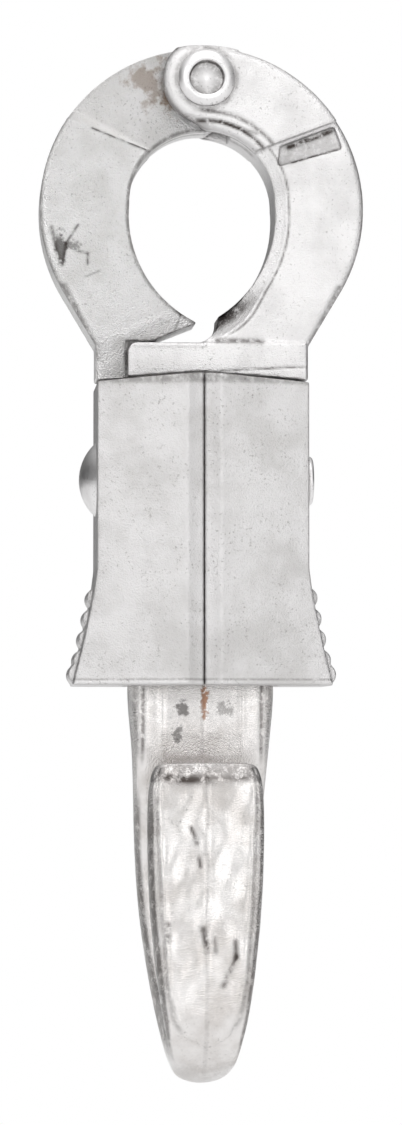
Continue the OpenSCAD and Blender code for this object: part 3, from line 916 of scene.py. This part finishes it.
# %% Speckle of pores
pores, pin, pout = new_group("casting_pores", [("Vector", "NodeSocketVector", None),
                                               ("Scale", "NodeSocketFloat", 3000.0),
                                               ("Amount", "NodeSocketFloat", 0.5)],
                             [("Mask", "NodeSocketFloat"), ("Height", "NodeSocketFloat")])
fine = noise(pores, pin.outputs["Vector"], pin.outputs["Scale"], 3.0, 0.6)
patches = noise(pores, pin.outputs["Vector"], 260.0, 3.0, 0.6)
dots = between(pores, fine, 0.57, 0.70)
where_dense = between(pores, patches, 0.38, 0.62, 0.12, 1.0)
pore_mask = maths(pores, "MULTIPLY", maths(pores, "MULTIPLY", dots, where_dense), pin.outputs["Amount"])
pores.links.new(pore_mask, pout.inputs["Mask"])
pores.links.new(fine, pout.inputs["Height"])

# %% [markdown]
# ### Blotches
# Plating is never quite even. One broad, soft cloud steers both tone and roughness.

# %% Blotches of thin plating
blotches, bin_, bout = new_group("plating_blotches", [("Vector", "NodeSocketVector", None),
                                                     ("Scale", "NodeSocketFloat", 160.0)],
                                 [("Mask", "NodeSocketFloat")])
cloud = noise(blotches, bin_.outputs["Vector"], bin_.outputs["Scale"], 5.0, 0.62)
blotches.links.new(between(blotches, cloud, 0.38, 0.68), bout.inputs["Mask"])

# %% [markdown]
# ### Dirt and painted shade in corners
# Grease and dust stay where a cloth can't reach, and that is also where shade falls. Occlusion
# finds those places and darkens them as painted shade and dirt in one, and noise
# breaks up the edge, since a clean gradient looks airbrushed.

# %% Dirt and painted shade in corners
shade_and_dirt_group, din, dout = new_group("corner_shade_and_dirt", [("Vector", "NodeSocketVector", None),
                                            ("Reach", "NodeSocketFloat", 0.0012),
                                            ("Amount", "NodeSocketFloat", 0.8)],
                            [("Mask", "NodeSocketFloat")])
shade = add(shade_and_dirt_group, "ShaderNodeAmbientOcclusion", {"samples": 6}, Distance=din.outputs["Reach"])
broken = noise(shade_and_dirt_group, din.outputs["Vector"], 700.0, 4.0, 0.65)
closed = between(shade_and_dirt_group, shade.outputs["AO"], 0.80, 0.35)
ragged = maths(shade_and_dirt_group, "MULTIPLY", closed, between(shade_and_dirt_group, broken, 0.30, 0.62))
shade_and_dirt_group.links.new(maths(shade_and_dirt_group, "MULTIPLY", ragged, din.outputs["Amount"]), dout.inputs["Mask"])

# %% [markdown]
# ### Stains
# A stain is a ball in space with a ragged edge, placed in the maker's own millimetres.

# %% A stain in a known place
stain, sin_, sout = new_group("stain", [("Vector", "NodeSocketVector", None),
                                        ("Centre", "NodeSocketVector", (0, 0, 0)),
                                        ("Size", "NodeSocketVector", (0.005, 0.005, 0.005)),
                                        ("Grain", "NodeSocketFloat", 500.0)],
                              [("Mask", "NodeSocketFloat")])
offset = add(stain, "ShaderNodeVectorMath", {"operation": "SUBTRACT"}, i0=sin_.outputs["Vector"],
             i1=sin_.outputs["Centre"])
scaled = add(stain, "ShaderNodeVectorMath", {"operation": "DIVIDE"}, i0=offset.outputs[0],
             i1=sin_.outputs["Size"])
distance = add(stain, "ShaderNodeVectorMath", {"operation": "LENGTH"}, i0=scaled.outputs[0])
ragged_edge = noise(stain, sin_.outputs["Vector"], sin_.outputs["Grain"], 5.0, 0.65)
blurred = maths(stain, "ADD", distance.outputs["Value"],
                between(stain, ragged_edge, 0.25, 0.75, 0.75, -0.35))
stain.links.new(between(stain, blurred, 1.0, 0.45), sout.inputs["Mask"])

# %% [markdown]
# ## The finishes
# All the finishes are metal with one Principled shader. Their colour starts from a plain
# plating tone, is broken up by the blotches, and is then darkened by pores, dirt, painted shade
# and stains. Roughness follows the same masks, because dirt is dull and a rubbed spot shines.

# %% Finish builder
PORE_TONE = (0.16, 0.15, 0.14)
DIRT_AND_SHADE_TONE = (0.07, 0.06, 0.055)


def use(tree, group, where, **values):
    """Places a node group at a position and sets its own values."""
    node = tree.nodes.new("ShaderNodeGroup")
    node.node_tree = group
    tree.links.new(where, node.inputs["Vector"])
    for key, value in values.items():
        node.inputs[key].default_value = value
    return node.outputs


def over(tree, below, colour, mask):
    """Colour laid over another by a mask."""
    made = add(tree, "ShaderNodeMix", {"data_type": "RGBA"})
    tree.links.new(mask, made.inputs["Factor"])
    for socket, value in ((made.inputs[6], below), (made.inputs[7], colour)):
        if isinstance(value, bpy.types.NodeSocket):
            tree.links.new(value, socket)
        else:
            socket.default_value = (*value, 1)
    return made.outputs[2]


def plated(name, light, dark, rough, dirt_and_shade_amount, pore_amount, bump, stains=(), wave=0.0, grain=0.0):
    """A plated metal finish. light and dark are its two tones, rough its roughness range, and
    stains are (centre mm, size mm, grain, colour, strength). wave is the swell of thick plating
    and grain the sandy bump of the cast surface under it."""
    material = bpy.data.materials.new(name)
    material.use_nodes = True
    tree = material.node_tree
    shader = tree.nodes["Principled BSDF"]
    shader.inputs["Metallic"].default_value = 1.0
    where = tree.nodes.new("ShaderNodeTexCoord").outputs["Object"]
    thin = use(tree, blotches, where)["Mask"]
    spots = use(tree, pores, where, Amount=pore_amount)
    corner = use(tree, shade_and_dirt_group, where, Amount=dirt_and_shade_amount)["Mask"]
    colour = over(tree, light, dark, thin)
    colour = over(tree, colour, PORE_TONE, spots["Mask"])
    grime_and_shade = add(tree, "ShaderNodeAttribute", {"attribute_name": "grime_and_shade"}).outputs["Fac"]
    rubbed = noise(tree, where, 900.0, 4.0, 0.7)
    grime_and_shade = maths(tree, "MULTIPLY", grime_and_shade, between(tree, rubbed, 0.32, 0.55, 0.25, 1.0))
    corner = maths(tree, "MAXIMUM", corner, grime_and_shade)
    marks = corner
    for centre, size, grain, tone, strength in stains:
        spot = use(tree, stain, where, Centre=Vector(centre) * MM, Size=Vector(size) * MM, Grain=grain)
        mask = maths(tree, "MULTIPLY", spot["Mask"], strength)
        colour = over(tree, colour, tone, mask)
        marks = maths(tree, "MAXIMUM", marks, mask)
    # Dirt and painted shade: the corners found by occlusion and the stored lines are darkened together.
    colour = over(tree, colour, DIRT_AND_SHADE_TONE, corner)
    tree.links.new(colour, shader.inputs["Base Color"])
    dull = add(tree, "ShaderNodeMapRange", Value=thin, To_Min=rough[0], To_Max=rough[1]).outputs["Result"]
    dull = maths(tree, "ADD", dull, maths(tree, "MULTIPLY", marks, 0.25))
    tree.links.new(dull, shader.inputs["Roughness"])
    sand = noise(tree, where, 5200.0, 2.0, 0.7)
    height = maths(tree, "ADD", maths(tree, "MULTIPLY", spots["Height"], 0.35),
                   maths(tree, "MULTIPLY", sand, grain))
    height = maths(tree, "SUBTRACT", height, maths(tree, "MULTIPLY", spots["Mask"], 0.5))
    if wave:
        swell = noise(tree, where, 190.0, 2.0, 0.5)
        height = maths(tree, "ADD", height, maths(tree, "MULTIPLY", swell, wave))
    relief = add(tree, "ShaderNodeBump", Strength=bump, Distance=0.0003, Height=height)
    tree.links.new(relief.outputs["Normal"], shader.inputs["Normal"])
    return material


# %% [markdown]
# ### One finish for each process
# The jaws and the sleeve are satin zinc, and the sleeve is greyer from handling. The two
# jaws have one plating, but the fixed jaw's copy is painted darker and the swinging jaw's
# lighter, to even out how the lamps fall on them. The hook is bright nickel, so it is
# smoother, warmer and wavier. The spring is plain drawn wire.

# %% Finishes of this hook
BROWN = (0.30, 0.21, 0.15)
RUST = (0.34, 0.16, 0.08)
SOOT = (0.10, 0.095, 0.09)
# One zinc plating in two copies: the fixed jaw's tones are painted darker and the swinging jaw's lighter,
# to even out the light that falls on each.
jaw_zinc_right_painted_darker = plated("zinc_fixed_jaw_painted_darker", (0.76, 0.75, 0.75), (0.66, 0.65, 0.65), (0.28, 0.40), 0.8, 0.5,
                        0.45, grain=1.2)
jaw_zinc_left_painted_lighter = plated(
    "zinc_swinging_jaw_painted_lighter", (0.90, 0.89, 0.89), (0.80, 0.79, 0.78), (0.28, 0.40), 0.8, 0.5, 0.45, grain=1.2,
    stains=[((-6.2, -2.6, 15.0), (4.2, 3, 4.0), 420, BROWN, 0.6),
            ((-3.8, -2.6, 12.2), (1.6, 3, 2.6), 600, BROWN, 0.8),
            ((-17.2, -4, -6.0), (1.0, 2, 3.2), 900, SOOT, 0.8),
            ((-15.6, -4, -5.4), (1.2, 2, 0.9), 1100, SOOT, 0.6)])
sleeve_zinc = plated("zinc_sleeve", (0.64, 0.63, 0.63), (0.55, 0.54, 0.535), (0.28, 0.42), 0.7, 0.5, 0.45,
                     grain=1.0)
hook_nickel = plated(
    "nickel_hook", (0.82, 0.80, 0.79), (0.62, 0.59, 0.57), (0.09, 0.18), 0.8, 0.35, 0.22,
    stains=[((0.2, -4.4, -60.5), (0.7, 2, 3.2), 900, RUST, 0.9),
            ((-2.6, -4.4, -61.5), (1.2, 2, 1.3), 1300, SOOT, 0.8),
            ((-3.0, -4, -64.6), (1.0, 2, 1.6), 1500, SOOT, 0.7),
            ((2.6, -4.4, -61.4), (1.8, 2, 1.3), 1700, SOOT, 0.5)],
    wave=0.8)
rivet_metal = plated("rivet_plating", (0.84, 0.83, 0.83), (0.70, 0.69, 0.69), (0.28, 0.42), 0.9, 0.5, 0.2)
spring_metal = plated("spring_steel", (0.42, 0.42, 0.44), (0.30, 0.30, 0.31), (0.25, 0.4), 0.5, 0.2, 0.1)


def dress(piece, material):
    piece.data.materials.clear()
    piece.data.materials.append(material)


dress(fixed_jaw, jaw_zinc_right_painted_darker)
dress(swing_jaw, jaw_zinc_left_painted_lighter)
for piece in (rivet, cross_rivet):
    dress(piece, rivet_metal)
for piece in (hook, stem):
    dress(piece, hook_nickel)
for piece in (spring, plunger):
    dress(piece, spring_metal)
for side in ("left", "right"):
    dress(bpy.data.objects[f"sleeve_shell_{side}"], sleeve_zinc)
    dress(bpy.data.objects[f"tang_rivet_{side}_turned"], rivet_metal)
